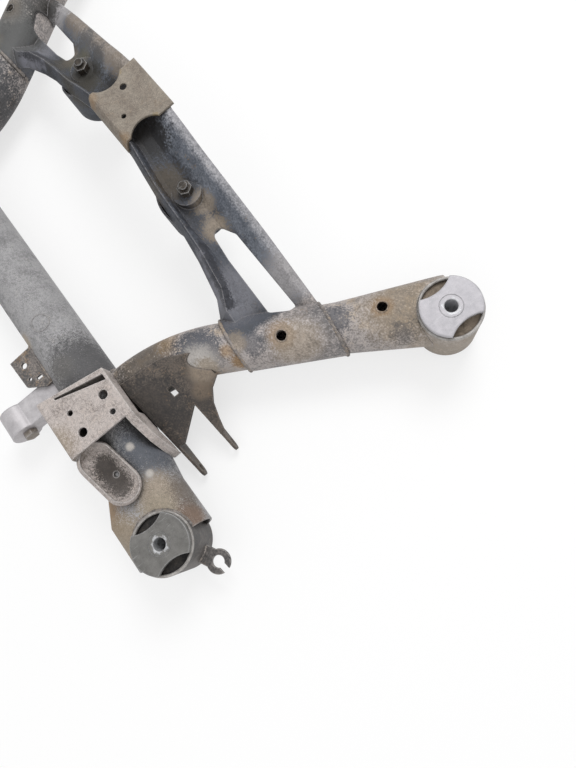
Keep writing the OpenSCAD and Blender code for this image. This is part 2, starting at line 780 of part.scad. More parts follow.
module diff_stud(side) {
  low = -cup_low - rubber_inset;
  seat_under = seat_z - seat_h;
  color("gray") on_side(side) translate([diff_x, diff_y, low]) {
    cylinder(h = seat_under - low, d = 2 * stud_d);
    cylinder(h = seat_z + stud_d + 3 - low, d = stud_d);
  }
}

module diff_nut(side) {
  color("gray") on_side(side) translate([diff_x, diff_y, seat_z]) difference() {
    cylinder(h = stud_d - 2, d = hex_af / cos(30), $fn = 6);
    translate([0, 0, -1]) cylinder(h = stud_d, d = stud_d);
  }
}

cross_tube();
side_tube(1);  // side_tube_left
side_tube(-1);  // side_tube_right
rear_crossmember();
saddle_plate();
arm_bracket(1);  // arm_bracket_left
arm_bracket(-1);  // arm_bracket_right
lower_clevis(1);  // lower_clevis_left
lower_clevis(-1);  // lower_clevis_right
sleeve(1, -mount_half_base);  // front_sleeve_left
sleeve(-1, -mount_half_base);  // front_sleeve_right
sleeve(1, mount_half_base);  // rear_sleeve_left
sleeve(-1, mount_half_base);  // rear_sleeve_right
bush_rubber(1, -mount_half_base);  // front_rubber_left
bush_rubber(-1, -mount_half_base);  // front_rubber_right
bush_rubber(1, mount_half_base);  // rear_rubber_left
bush_rubber(-1, mount_half_base);  // rear_rubber_right
bush_core(1, -mount_half_base);  // front_core_left
bush_core(-1, -mount_half_base);  // front_core_right
bush_core(1, mount_half_base);  // rear_core_left
bush_core(-1, mount_half_base);  // rear_core_right
hook_clip(1);  // hook_clip_left
hook_clip(-1);  // hook_clip_right
tab_bracket(1);  // tab_bracket_left
tab_bracket(-1);  // tab_bracket_right
stay_arm(1);  // stay_arm_left
stay_arm(-1);  // stay_arm_right
stay_bolt(1);  // stay_bolt_left
stay_bolt(-1);  // stay_bolt_right
diff_cup(1);  // diff_cup_left
diff_cup(-1);  // diff_cup_right
diff_rubber(1);  // diff_rubber_left
diff_rubber(-1);  // diff_rubber_right
diff_stud(1);  // diff_stud_left
diff_stud(-1);  // diff_stud_right
diff_nut(1);  // diff_nut_left
diff_nut(-1);  // diff_nut_right
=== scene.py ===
# %% [markdown]
# # A rear-axle subframe, dressed for its portrait
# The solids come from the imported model, in metres, each node at its real place: x to the car's left, y to
# its rear and z up, from the middle of the four body mounts. This lesson adds what the solids leave out:
# worn paint, road dust, rust, bright machined metal and the weld beads that join the pieces. Loading comes
# first, because every later piece and every patch of wear is placed in the frame of these nodes.

# %% Load the solids
import json
import math

import bmesh
import bpy
from mathutils import Matrix, Vector


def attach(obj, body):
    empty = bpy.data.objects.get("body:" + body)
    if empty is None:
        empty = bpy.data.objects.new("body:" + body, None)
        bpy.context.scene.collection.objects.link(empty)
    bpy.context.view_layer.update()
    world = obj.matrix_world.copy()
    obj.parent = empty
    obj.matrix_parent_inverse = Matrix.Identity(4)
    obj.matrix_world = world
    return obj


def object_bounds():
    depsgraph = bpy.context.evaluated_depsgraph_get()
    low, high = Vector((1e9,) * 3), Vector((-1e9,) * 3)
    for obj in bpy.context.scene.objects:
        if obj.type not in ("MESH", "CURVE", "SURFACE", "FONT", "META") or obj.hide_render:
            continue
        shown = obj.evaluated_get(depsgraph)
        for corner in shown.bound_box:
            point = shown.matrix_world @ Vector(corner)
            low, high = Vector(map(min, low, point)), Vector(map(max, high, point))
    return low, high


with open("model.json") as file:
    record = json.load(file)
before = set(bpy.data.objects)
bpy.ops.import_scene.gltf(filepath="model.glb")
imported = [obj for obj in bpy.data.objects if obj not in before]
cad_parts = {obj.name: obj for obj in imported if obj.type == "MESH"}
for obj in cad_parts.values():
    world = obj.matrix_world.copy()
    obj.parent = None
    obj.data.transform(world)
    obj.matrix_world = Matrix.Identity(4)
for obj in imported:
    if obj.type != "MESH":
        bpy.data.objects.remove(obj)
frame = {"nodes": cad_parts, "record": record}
nodes = frame["nodes"]
cad_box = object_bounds()
scene = bpy.context.scene
scene.view_settings.view_transform = "Standard"
print("loaded", len(nodes), "nodes")

# %% [markdown]
# ## Camera
# The photograph looks down on one corner from just outboard of it, with the camera turned so that the
# front cross tube runs from left to lower right. The lens and place below were fitted to the two
# bushing plates and to features that show on both sides. A position, an aim and a roll are easier to
# read than a matrix, so the camera is set from those.

# %% Camera at the photograph's view
CAMERA_PLACE = Vector((0.5853, 0.0308, 0.6813))
CAMERA_AIM = Vector((0.3943, 0.0152, -0.0500))
CAMERA_ROLL = math.radians(-43.86)
LENS_MM = 27.19
SENSOR_MM = 36.0

camera_data = bpy.data.cameras.new("camera")
camera_data.lens = LENS_MM
camera_data.sensor_width = SENSOR_MM
camera = bpy.data.objects.new("camera", camera_data)
scene.collection.objects.link(camera)
look = (CAMERA_AIM - CAMERA_PLACE).to_track_quat("-Z", "Y").to_matrix()
turn = look @ Matrix.Rotation(CAMERA_ROLL, 3, "Z")
camera.matrix_world = Matrix.Translation(CAMERA_PLACE) @ turn.to_4x4()
scene.camera = camera
print("camera at", tuple(round(v, 3) for v in CAMERA_PLACE))

# %% [markdown]
# ## Helpers for finishes
# Every finish is a small node tree on Object coordinates, so it stays on the metal when the view changes.
# A tree could be drawn by hand in the shader editor, but wear repeats the same few steps, so short
# functions make them. The first ones start a material, read the place on the metal and feed a socket
# with a link, a number or a colour.

# %% Starting a finish
def new_finish(name):
    """Start a material and return it with its tree and shader."""
    material = bpy.data.materials.new(name)
    material.use_nodes = True
    tree = material.node_tree
    return material, tree, tree.nodes["Principled BSDF"]


def place_of(tree):
    """Object coordinates of the surface."""
    return tree.nodes.new("ShaderNodeTexCoord").outputs["Object"]


def feed(tree, socket, value):
    """Link an output to a socket, or set the socket to a number or a colour."""
    if isinstance(value, bpy.types.NodeSocket):
        tree.links.new(value, socket)
    elif isinstance(value, tuple):
        socket.default_value = (*value, 1.0)
    else:
        socket.default_value = value


print("finishes can be started")

# %% [markdown]
# ## Values and masks
# Noise at a real size makes blotches, and a mask cut out of it says where one colour ends and the next
# begins. Sums and products of masks then decide where wear may go. A Color Ramp node could cut a mask
# too, but Map Range shows its two limits as plain numbers.

# %% Value helpers
# The Mix node has a pair of inputs and an output for each kind of data, told apart by number.
MIX_SHARE = 0
MIX_VALUES = (2, 3)
MIX_VALUE_OUT = 0
MIX_COLOURS = (6, 7)
MIX_COLOUR_OUT = 2


def noise(tree, place, size, detail=5.0, rough=0.6):
    """Noise whose blotches are about size metres wide."""
    node = tree.nodes.new("ShaderNodeTexNoise")
    node.inputs["Scale"].default_value = 1.0 / size
    node.inputs["Detail"].default_value = detail
    node.inputs["Roughness"].default_value = rough
    tree.links.new(place, node.inputs["Vector"])
    return node.outputs["Fac"]


def mask(tree, value, low, high):
    """Map values from low to high onto 0 to 1, clamped. A low above the high turns the mask round."""
    node = tree.nodes.new("ShaderNodeMapRange")
    node.inputs["From Min"].default_value = low
    node.inputs["From Max"].default_value = high
    tree.links.new(value, node.inputs["Value"])
    return node.outputs["Result"]


def join(tree, operation, a, b=0.0):
    """Arithmetic on two values, or on a value and a number."""
    node = tree.nodes.new("ShaderNodeMath")
    node.operation = operation
    feed(tree, node.inputs[0], a)
    feed(tree, node.inputs[1], b)
    return node.outputs["Value"]


def faded(tree, value, strength):
    """Scale a mask."""
    return join(tree, "MULTIPLY", value, strength)


def weigh(tree, a, b, share):
    """Mix two values, with share of the second."""
    node = tree.nodes.new("ShaderNodeMix")
    node.inputs[MIX_SHARE].default_value = share
    for number, value in zip(MIX_VALUES, (a, b)):
        tree.links.new(value, node.inputs[number])
    return node.outputs[MIX_VALUE_OUT]


print("values can be mixed and masked")

# %% [markdown]
# ## Colours over colours
# Real wear comes in layers, one over the other: paint, rust, dust, grime. A Mix node lays one colour over
# another through a mask, and a strength below one lets the colour below show through. Mixing shaders
# would do the same at a higher cost, so only colours are mixed.

# %% Colour helpers
def blend(tree, factor, below, above):
    """Lay one colour over another through a mask."""
    node = tree.nodes.new("ShaderNodeMix")
    node.data_type = "RGBA"
    tree.links.new(factor, node.inputs[MIX_SHARE])
    for number, colour in zip(MIX_COLOURS, (below, above)):
        feed(tree, node.inputs[number], colour)
    return node.outputs[MIX_COLOUR_OUT]


def lay(tree, tint, over, through, strength):
    """Lay a colour over another through a mask, at a strength from 0 to 1."""
    return blend(tree, faded(tree, through, strength), over, tint)


print("colours can be laid over each other")

# %% [markdown]
# ## Edges and relief
# Stamped sheet has no knife edges, and its edges lose their paint first. A bevel on every edge would
# change the solids, so the Bevel node gives a normal that turns smoothly over an edge instead. It rounds
# the shading, and where it leans away from the surface's own normal there is an edge to wear and a painted
# highlight to lay. A Bump node on top of it adds the grain of rust and dirt.

# %% Edge and relief helpers
EDGE_ROUND = 0.0030
EDGE_RAYS = 6
FLAT_LEAN = 0.97
SHARP_LEAN = 0.78
FACING_DOWN = -0.3
FACING_UP = 0.9


def vector_step(tree, operation, a, b):
    """Outputs of vector arithmetic on a linked vector and another one, linked or fixed."""
    node = tree.nodes.new("ShaderNodeVectorMath")
    node.operation = operation
    tree.links.new(a, node.inputs[0])
    if isinstance(b, tuple):
        node.inputs[1].default_value = b
    else:
        tree.links.new(b, node.inputs[1])
    return node.outputs


def edge_normal(tree):
    """Normal rounded over the edges."""
    node = tree.nodes.new("ShaderNodeBevel")
    node.samples = EDGE_RAYS
    node.inputs["Radius"].default_value = EDGE_ROUND
    return node.outputs["Normal"]


def edge_mask(tree, rounded):
    """Bright on edges, dark on flat faces."""
    own = tree.nodes.new("ShaderNodeNewGeometry").outputs["Normal"]
    agreement = vector_step(tree, "DOT_PRODUCT", rounded, own)["Value"]
    return mask(tree, agreement, FLAT_LEAN, SHARP_LEAN)


def relief(tree, shader, rounded, height, distance, strength=0.7):
    """Raise the surface by a height map over the rounded edges."""
    node = tree.nodes.new("ShaderNodeBump")
    node.inputs["Strength"].default_value = strength
    node.inputs["Distance"].default_value = distance
    tree.links.new(height, node.inputs["Height"])
    tree.links.new(rounded, node.inputs["Normal"])
    tree.links.new(node.outputs["Normal"], shader.inputs["Normal"])


def upward(tree):
    """How far the surface faces up, from 0 to 1."""
    own = tree.nodes.new("ShaderNodeNewGeometry").outputs["Normal"]
    split = tree.nodes.new("ShaderNodeSeparateXYZ")
    tree.links.new(own, split.inputs["Vector"])
    return mask(tree, split.outputs["Z"], FACING_DOWN, FACING_UP)


print("edges round over", EDGE_ROUND, "m")

# %% [markdown]
# ## Places on the frame
# The two halves of the frame aged much alike, so a finish that names one place can serve both. Naming
# every place twice would double the nodes. Taking x without its sign folds the right half onto the
# left, and the distance from a place is then the start of a round patch.

# %% Folding and distance
def folded(tree, place):
    """The place with the right side folded onto the left."""
    parts = tree.nodes.new("ShaderNodeSeparateXYZ")
    whole = tree.nodes.new("ShaderNodeCombineXYZ")
    tree.links.new(place, parts.inputs["Vector"])
    tree.links.new(join(tree, "ABSOLUTE", parts.outputs["X"]), whole.inputs["X"])
    for axis in "YZ":
        tree.links.new(parts.outputs[axis], whole.inputs[axis])
    return whole.outputs["Vector"]


def near(tree, place, spot, reach):
    """Distance from a spot, as a share of its reach."""
    distance = vector_step(tree, "DISTANCE", place, spot)["Value"]
    return join(tree, "DIVIDE", distance, reach)


print("places can be folded and measured")

# %% [markdown]
# ## Noises of wear
# The frame was dipped in blue-black paint, then driven for years. Painting the wear by hand would need an
# image, while noise gives it anywhere on the metal. Each mask is a sum of coarse and fine noise cut at
# a step, because real wear has a grainy border and a plain fade looks airbrushed.

# %% Wear noises
COARSE_SIZE = 0.060
PATCH_SIZE = 0.026
RAGGED_SIZE = 0.009
FINE_SIZE = 0.0024
FINE_IN_RAGGED = 0.52


def spread(tree, value):
    """Stretch a noise, which bunches round its middle, over 0 to 1."""
    return mask(tree, value, low=0.32, high=0.68)


def wear_noises(tree, size):
    """Coarse, patchy, fine and ragged noise, with a size that scales them all."""
    place = place_of(tree)
    coarse = spread(tree, noise(tree, place, COARSE_SIZE * size, detail=3.0))
    patchy = spread(tree, noise(tree, place, PATCH_SIZE * size, detail=9.0, rough=0.72))
    fine = spread(tree, noise(tree, place, FINE_SIZE * size, detail=3.0, rough=0.65))
    crumbled = spread(tree, noise(tree, place, RAGGED_SIZE * size, detail=9.0, rough=0.75))
    return coarse, patchy, fine, weigh(tree, crumbled, fine, share=FINE_IN_RAGGED)


def cover(tree, value, share, soft):
    """Cut a mask that grows with its share, with a border of soft on either side of the step."""
    return mask(tree, value, 1.0 - share - soft, 1.0 - share + soft)


print("wear noises from", FINE_SIZE, "to", COARSE_SIZE, "m")

# %% [markdown]
# ## Spots, bands and corners
# Some marks have a known place, such as paint that stayed behind a bracket, rust beside a weld or a painted
# shade in a hollow. A spot is a place, a reach, a colour and a strength, with a ragged border. Spots lie on
# both sides, except that one with a negative x lies on the right side alone. A band changes the paint beyond
# an upright plane. Grime and a painted shade sit in corners, which the Ambient Occlusion node finds.

# %% Spots, bands and corners
SPOT_RAG = 1.1
SPOT_OUTSIDE = 1.68
SPOT_INSIDE = 1.20
BAND_RAG = 0.008
BAND_SOFT = 0.010
CORNER_REACH = 0.030
CORNER_RAYS = 6
CORNER_RAG = 0.4


def lay_spots(tree, colour, spots, ragged):
    """Lay ragged spots, on both sides unless the spot lies on the right."""
    place = place_of(tree)
    one_side = folded(tree, place)
    for spot, reach, tint, strength in spots:
        where = place if spot[0] < 0 else one_side
        border = join(tree, "ADD", near(tree, where, spot, reach), faded(tree, ragged, SPOT_RAG))
        inside = mask(tree, border, SPOT_OUTSIDE, SPOT_INSIDE)
        colour = lay(tree, tint, over=colour, through=inside, strength=strength)
    return colour


def past_line(tree, way, start, ragged):
    """1 beyond an upright plane on the folded place, 0 before it, with a ragged border."""
    along_way = vector_step(tree, "DOT_PRODUCT", folded(tree, place_of(tree)), way)["Value"]
    border = join(tree, "ADD", along_way, faded(tree, ragged, BAND_RAG))
    return mask(tree, border, start, start + BAND_SOFT)


def corners(tree, ragged):
    """Bright where surfaces close in on each other, where grime and a painted shade go."""
    node = tree.nodes.new("ShaderNodeAmbientOcclusion")
    node.samples = CORNER_RAYS
    node.inputs["Distance"].default_value = CORNER_REACH
    openness = join(tree, "ADD", node.outputs["AO"], faded(tree, ragged, CORNER_RAG))
    return mask(tree, openness, low=0.95, high=0.50)


print("spots, bands and corners ready")

# %% [markdown]
# ## Grain of a worn surface
# Old paint is nowhere even: each grain is a little lighter, duller or higher than the next. A picture of
# real paint could give that, but here the ragged noise does all three, so light and relief agree. Dust and
# rust also dull the surface.

# %% Grainy surface
GRAIN_GAIN = 0.9
GRAIN_FLOOR = 0.55


def grainy_surface(tree, shader, colour, rounded, ragged, dusty, rusty):
    """Send a colour to the shader with grain, roughness and relief."""
    grain = tree.nodes.new("ShaderNodeHueSaturation")
    tree.links.new(colour, grain.inputs["Color"])
    tree.links.new(join(tree, "ADD", faded(tree, ragged, GRAIN_GAIN), GRAIN_FLOOR), grain.inputs["Value"])
    tree.links.new(grain.outputs["Color"], shader.inputs["Base Color"])
    dull = join(tree, "ADD", faded(tree, dusty, strength=0.5), faded(tree, rusty, strength=0.5))
    roughness = mask(tree, join(tree, "ADD", dull, ragged), low=-0.7, high=1.2)
    tree.links.new(roughness, shader.inputs["Roughness"])
    height = join(tree, "ADD", ragged, faded(tree, dusty, strength=0.3))
    relief(tree, shader, rounded, height, distance=0.0006, strength=0.6)


print("grain ready")

# %% [markdown]
# ## Worn paint
# The paint thins to grey, rust bleeds out in patches, dust settles on what faces up, grime and a painted
# shade fill the corners, and edges rub bright, with a painted highlight on them. One function lays these
# over each other in the order they happened, so that every painted group can share it with its own colours.

# %% Worn paint
# grime colour, also laid as a painted shade in the corners
GRIME_AND_SHADE = (0.030, 0.024, 0.019)
CHALK = (0.46, 0.43, 0.40)
# rubbed steel on the edges, also a painted highlight
RUBBED_STEEL_AND_HIGHLIGHT = (0.46, 0.43, 0.41)


def worn_paint(name, coat, worn, rust, dust, worn_share, rust_share, dust_share,
               spots=(), bands=(), edge=RUBBED_STEEL_AND_HIGHLIGHT, size=1.0, flecks=0.0):
    """A coat of paint under worn paint, rust, dust, spots, flecks that are partly painted glints, grime with
    a painted shade, and rubbed edges with a painted highlight.
    """
    material, tree, shader = new_finish(name)
    coarse, patchy, fine, ragged = wear_noises(tree, size)
    for way, start, band_coat, band_worn in bands:
        beyond = past_line(tree, way, start, ragged)
        coat = blend(tree, beyond, coat, band_coat)
        worn = blend(tree, beyond, worn, band_worn)
    thin = cover(tree, weigh(tree, coarse, ragged, share=0.6), worn_share, soft=0.20)
    rusty = cover(tree, weigh(tree, patchy, fine, share=0.35), rust_share, soft=0.06)
    settled = cover(tree, weigh(tree, patchy, ragged, share=0.5), dust_share, soft=0.08)
    dusty = join(tree, "MULTIPLY", settled, upward(tree))
    colour = blend(tree, thin, coat, worn)
    colour = lay(tree, rust, over=colour, through=rusty, strength=0.75)
    colour = lay(tree, dust, over=colour, through=dusty, strength=0.8)
    colour = lay_spots(tree, colour, spots, ragged)
    # pale flecks of dried salt, also standing in as painted glints
    if flecks:
        specks = mask(tree, fine, low=0.78, high=1.0)
        clustered = join(tree, "MULTIPLY", specks, mask(tree, patchy, low=0.35, high=0.75))
        colour = lay(tree, CHALK, over=colour, through=clustered, strength=flecks)
    # grime and a painted shade darken the corners
    colour = lay(tree, GRIME_AND_SHADE, over=colour, through=corners(tree, ragged), strength=0.75)
    rounded = edge_normal(tree)
    rubbed_and_highlit = join(tree, "MULTIPLY", edge_mask(tree, rounded), mask(tree, ragged, low=0.15, high=0.45))
    # edges rubbed bright, with a painted highlight on them
    colour = lay(tree, edge, over=colour, through=rubbed_and_highlit, strength=0.85)
    grainy_surface(tree, shader, colour, rounded, ragged, dusty, rusty)
    return material


print("worn paint ready to mix")

# %% [markdown]
# ## Side tubes
# The side tubes rubbed down to a warm grey, with mud toward the rear mounts and blue-black paint left
# where other pieces shield them. Chalky flecks of dried salt lie in clusters, and they also serve as painted
# glints of light. Shader sockets take linear colours, which are smaller numbers than a paint program shows
# for the same colour.

# %% Side tube paint
BLUE_BLACK = (0.055, 0.062, 0.080)
TAN = (0.32, 0.26, 0.195)
OCHRE = (0.27, 0.165, 0.075)
UMBER = (0.085, 0.068, 0.052)
MUD = (0.25, 0.20, 0.145)
DRY_MUD = (0.27, 0.225, 0.175)
RUST_RUN = (0.24, 0.165, 0.09)
FAR_BLACK = (0.045, 0.046, 0.05)
TUBE_DARK = (0.125, 0.120, 0.123)
TUBE_WORN = (0.36, 0.325, 0.31)
# share of flecks, partly painted glints
TUBE_FLECKS_AND_GLINTS = 0.6

side_spots = (
    # between the legs of the crossmember and toward the rear mount
    ((0.335, 0.027, -0.014), 0.026, BLUE_BLACK, 0.8),
    ((0.376, 0.113, -0.014), 0.022, BLUE_BLACK, 0.65),
    ((0.372, 0.055, -0.014), 0.034, TAN, 0.7),
    ((0.420, 0.180, -0.008), 0.050, MUD, 0.8),
    ((0.470, 0.225, -0.060), 0.070, DRY_MUD, 0.8),
    # from the root on the cross tube to the front leg
    ((0.268, -0.115, -0.020), 0.050, UMBER, 0.85),
    ((0.262, -0.075, -0.030), 0.022, RUST_RUN, 0.7),
    ((0.290, -0.048, -0.016), 0.036, BLUE_BLACK, 0.85),
    ((0.306, -0.056, -0.020), 0.026, CHALK, 0.75),
    ((0.312, -0.052, -0.030), 0.016, TAN, 0.7),
    ((0.336, -0.012, -0.030), 0.014, OCHRE, 0.9),
    ((0.318, -0.018, -0.016), 0.010, OCHRE, 0.6),
    # round the rear access hole
    ((0.440, 0.170, -0.030), 0.020, BLUE_BLACK, 0.5),
    ((0.404, 0.166, -0.012), 0.015, OCHRE, 0.6),
    # the right tube's root, darkened
    ((-0.262, -0.080, -0.020), 0.085, FAR_BLACK, 0.9),
)
side_paint = worn_paint(
    "side_paint", coat=TUBE_DARK, worn=TUBE_WORN, rust=(0.22, 0.135, 0.075), dust=(0.38, 0.32, 0.26),
    worn_share=0.62, rust_share=0.28, dust_share=0.40, spots=side_spots, flecks=TUBE_FLECKS_AND_GLINTS)
print("side tubes have", len(side_spots), "spots")

# %% [markdown]
# ## Front cross tube
# The cross tube is an even, finely grained grey in its middle. Its ends are tan and rusty round the
# sleeves, with a patch of blue paint behind the arm bracket, and a painted shade darkens it where it runs
# into the bracket and in the corner behind it. The same function gives all this, with its noises at less
# than half size for the finer grain.

# %% Cross tube paint
KEPT_BLUE = (0.080, 0.088, 0.106)
SAND = (0.29, 0.245, 0.185)
RED_RUST = (0.17, 0.11, 0.075)
BROWN = (0.13, 0.105, 0.085)
CLAY = (0.27, 0.21, 0.14)
SHADE_DARK = (0.066, 0.065, 0.068)
SHADE_GREY = (0.13, 0.125, 0.12)
CORNER_SHADE = (0.05, 0.045, 0.042)
KNOCK_BLACK = (0.03, 0.03, 0.03)
KNOCK_REACH = 0.006

cross_spots = (
    # between the arm bracket and the front sleeve
    ((0.350, -0.168, -0.012), 0.052, KEPT_BLUE, 0.95),
    ((0.410, -0.195, -0.010), 0.034, TAN, 0.85),
    ((0.430, -0.205, -0.010), 0.030, SAND, 0.8),
    ((0.452, -0.172, -0.020), 0.024, RED_RUST, 0.9),
    ((0.420, -0.160, -0.030), 0.030, BROWN, 0.8),
    ((0.380, -0.270, -0.035), 0.040, OCHRE, 0.85),
    ((0.425, -0.262, -0.020), 0.034, CLAY, 0.8),
    # three chipped dots in the blue patch
    ((0.337, -0.190, -0.010), 0.0060, CHALK, 0.9),
    ((0.364, -0.179, -0.010), 0.0045, CHALK, 0.8),
    ((0.380, -0.189, -0.011), 0.0060, CHALK, 0.9),
    # painted shade inboard of the arm bracket and toward the tab, a tan mark beside the tab, and painted
    # shade in the corner behind the bracket
    ((0.206, -0.178, -0.014), 0.056, SHADE_DARK, 0.9),
    ((0.190, -0.205, -0.012), 0.020, SHADE_GREY, 0.7),
    ((0.117, -0.232, -0.028), 0.016, TAN, 0.8),
    ((0.300, -0.150, -0.040), 0.045, CORNER_SHADE, 0.9),
    # two knocks on the front of the tube
    ((0.058, -0.230, -0.030), KNOCK_REACH, KNOCK_BLACK, 0.9),
    ((0.093, -0.229, -0.030), KNOCK_REACH, KNOCK_BLACK, 0.9),
)
cross_paint = worn_paint(
    "cross_paint", coat=(0.17, 0.168, 0.172), worn=(0.31, 0.305, 0.31), rust=(0.22, 0.16, 0.10),
    dust=(0.34, 0.325, 0.315), worn_share=0.62, rust_share=0.12, dust_share=0.25, spots=cross_spots,
    size=0.4, flecks=TUBE_FLECKS_AND_GLINTS)
print("cross tube has", len(cross_spots), "spots")

# %% [markdown]
# ## Spots on the crossmember
# The crossmember's channel kept most of its paint and holds grime on its floor, with a painted shade near
# the saddle, while its flanges and legs rubbed grey. Long marks follow a fold of the sheet, a painted
# highlight along the front flange and a painted shade in the fold beside it, so a row of overlapping spots
# is laid along each. A painted line would need a map of the sheet, and a row needs only a start and a step.

# %% Crossmember spots
# near black, laid as a painted shade
DEEP_SHADE = (0.016, 0.016, 0.018)
FLOOR_OIL = (0.075, 0.058, 0.038)
LEG_GREY = (0.165, 0.167, 0.188)
LEG_PALE = (0.31, 0.295, 0.297)
FLANGE_HIGHLIGHT = (0.20, 0.202, 0.235)
FOLD_SHADE = (0.020, 0.021, 0.028)
LIP_RUST = (0.20, 0.162, 0.125)
FAR_WRAP = (0.085, 0.085, 0.08)
FAR_UMBER = (0.05, 0.045, 0.035)
FAR_BANK = (0.060, 0.063, 0.070)
FAR_BANK_DARK = (0.048, 0.050, 0.057)
FAR_FLOOR = (0.032, 0.030, 0.024)
FAR_OLIVE = (0.095, 0.088, 0.055)
FAR_LEG_SHADE = (0.030, 0.028, 0.026)


def spot_row(first, step, count, reach, tint, strength):
    """Evenly spaced spots along a line."""
    places = [tuple(f + s * i for f, s in zip(first, step)) for i in range(count)]
    return tuple((place, reach, tint, strength) for place in places)


channel_spots = (
    # floor of the channel
    ((0.102, 0.056, 0.024), 0.028, FLOOR_OIL, 0.8),
    ((0.150, 0.080, 0.014), 0.018, TAN, 0.6),
    # painted shade on the channel floor near the saddle
    ((0.045, 0.080, 0.040), 0.034, DEEP_SHADE, 1.0),
    ((0.182, 0.071, -0.002), 0.020, TAN, 0.7),
    # legs and wrapped ends
    ((0.262, 0.032, -0.020), 0.044, LEG_GREY, 0.85),
    ((0.290, 0.105, -0.020), 0.038, LEG_PALE, 0.8),
    ((0.349, 0.048, -0.014), 0.020, OCHRE, 0.6),
    ((0.372, 0.055, -0.014), 0.036, TAN, 0.6),
    ((0.330, 0.014, -0.018), 0.020, BLUE_BLACK, 0.6),
    ((0.318, -0.003, -0.012), 0.015, TAN, 0.6),
    # right wrap and right floor
    ((-0.330, 0.030, -0.015), 0.070, FAR_WRAP, 0.8),
    ((-0.190, 0.060, 0.010), 0.030, FAR_UMBER, 0.8),
)
# painted highlight along the front flange
flange_highlight_spots = spot_row(
    (0.202, 0.033, 0.008), (0.018, -0.0067, -0.0098), count=4, reach=0.012, tint=FLANGE_HIGHLIGHT, strength=0.7)
# painted shade in the fold beside it
fold_shade_spots = spot_row(
    (0.197, 0.043, 0.009), (0.012, -0.0033, -0.0039), count=7, reach=0.010, tint=FOLD_SHADE, strength=0.8)
far_lip_spots = spot_row(
    (-0.240, 0.116, 0.0), (0.030, 0.0, 0.010), count=7, reach=0.024, tint=LIP_RUST, strength=0.75)
far_spots = (
    # right bank, right floor, and a painted shade on the right rear leg
    ((-0.166, 0.094, 0.018), 0.030, FAR_BANK, 0.75),
    ((-0.120, 0.090, 0.030), 0.028, FAR_BANK_DARK, 0.75),
    ((-0.108, 0.062, 0.027), 0.036, FAR_FLOOR, 0.85),
    ((-0.155, 0.076, 0.012), 0.022, FAR_OLIVE, 0.7),
    ((-0.322, 0.093, -0.030), 0.034, FAR_LEG_SHADE, 0.85),
)
all_channel_spots = channel_spots + flange_highlight_spots + fold_shade_spots + far_lip_spots + far_spots
print("crossmember has", len(all_channel_spots), "spots")

# %% [markdown]
# ## Bands on the crossmember
# The rear bank of the channel is bluer than its floor and its lip is rubbed grey. The wrapped ends lie in
# the same dirt as the side tubes, so beyond a distance from the middle they take the tubes' colours. Each
# is a band: a way to measure along, a distance where it starts, and two colours of paint.

# %% Crossmember paint
REARWARD = (0.024, 1.0, 0.0)
OUTWARD = (1.0, 0.0, 0.0)
BANK_FROM = 0.0920
LIP_FROM = 0.1120
END_FROM = 0.322
BANK_BLUE = (0.076, 0.086, 0.107)
BANK_WORN = (0.140, 0.152, 0.177)
LIP_GREY = (0.22, 0.22, 0.235)
LIP_PALE = (0.33, 0.325, 0.34)

channel_bands = (
    (REARWARD, BANK_FROM, BANK_BLUE, BANK_WORN),
    (REARWARD, LIP_FROM, LIP_GREY, LIP_PALE),
    (OUTWARD, END_FROM, TUBE_DARK, TUBE_WORN),
)
channel_paint = worn_paint(
    "channel_paint", coat=(0.030, 0.034, 0.044), worn=(0.066, 0.072, 0.088), rust=(0.11, 0.075, 0.045),
    dust=(0.16, 0.13, 0.098), worn_share=0.50, rust_share=0.16, dust_share=0.18, spots=all_channel_spots,
    bands=channel_bands, edge=(0.30, 0.29, 0.30))
print("crossmember has", len(channel_bands), "bands")

# %% [markdown]
# ## Brackets, saddle and clevises
# The arm brackets are pale with dried salt, with a painted shade in the hollow of the eye's lobe. The saddle
# is brown with rust, and the clevises are nearly black, with a painted shade on them near the arm bracket.
# They are small, so most of them get their noises at about half size.

# %% Bracket, saddle and clevis paint
LOBE_SHADE = (0.045, 0.037, 0.032)
LOBE_END_SHADE = (0.060, 0.050, 0.044)
YELLOW_RUST = (0.36, 0.27, 0.12)
ROOF_TAN = (0.30, 0.24, 0.18)
EAR_RUST = (0.16, 0.12, 0.085)

bracket_spots = (
    ((0.285, -0.256, 0.000), 0.030, TAN, 0.7),
    # painted shade in the hollow of the eye's lobe
    ((0.337, -0.229, -0.006), 0.019, LOBE_SHADE, 0.95),
    ((0.354, -0.227, -0.006), 0.020, LOBE_SHADE, 0.95),
    ((0.370, -0.225, -0.005), 0.019, LOBE_END_SHADE, 0.9),
)
bracket_paint = worn_paint(
    "bracket_paint", coat=(0.20, 0.170, 0.155), worn=(0.47, 0.420, 0.395), rust=(0.24, 0.165, 0.12),
    dust=(0.49, 0.430, 0.395), worn_share=0.66, rust_share=0.20, dust_share=0.40, spots=bracket_spots,
    edge=(0.74, 0.71, 0.69), size=0.45)
saddle_spots = (
    ((0.046, 0.100, 0.060), 0.008, YELLOW_RUST, 0.7),
    ((0.040, 0.050, 0.060), 0.012, OCHRE, 0.5),
)
saddle_paint = worn_paint(
    "saddle_paint", coat=(0.18, 0.150, 0.122), worn=(0.255, 0.222, 0.182), rust=(0.18, 0.115, 0.07),
    dust=(0.26, 0.225, 0.185), worn_share=0.5, rust_share=0.30, dust_share=0.35, spots=saddle_spots,
    edge=(0.34, 0.30, 0.25), size=0.5)
clevis_spots = (
    ((0.314, -0.060, -0.028), 0.020, ROOF_TAN, 0.6),
    ((0.330, -0.078, -0.038), 0.014, EAR_RUST, 0.7),
    # painted shade on the clevis near the arm bracket
    ((0.306, -0.138, -0.030), 0.046, DEEP_SHADE, 0.5),
)
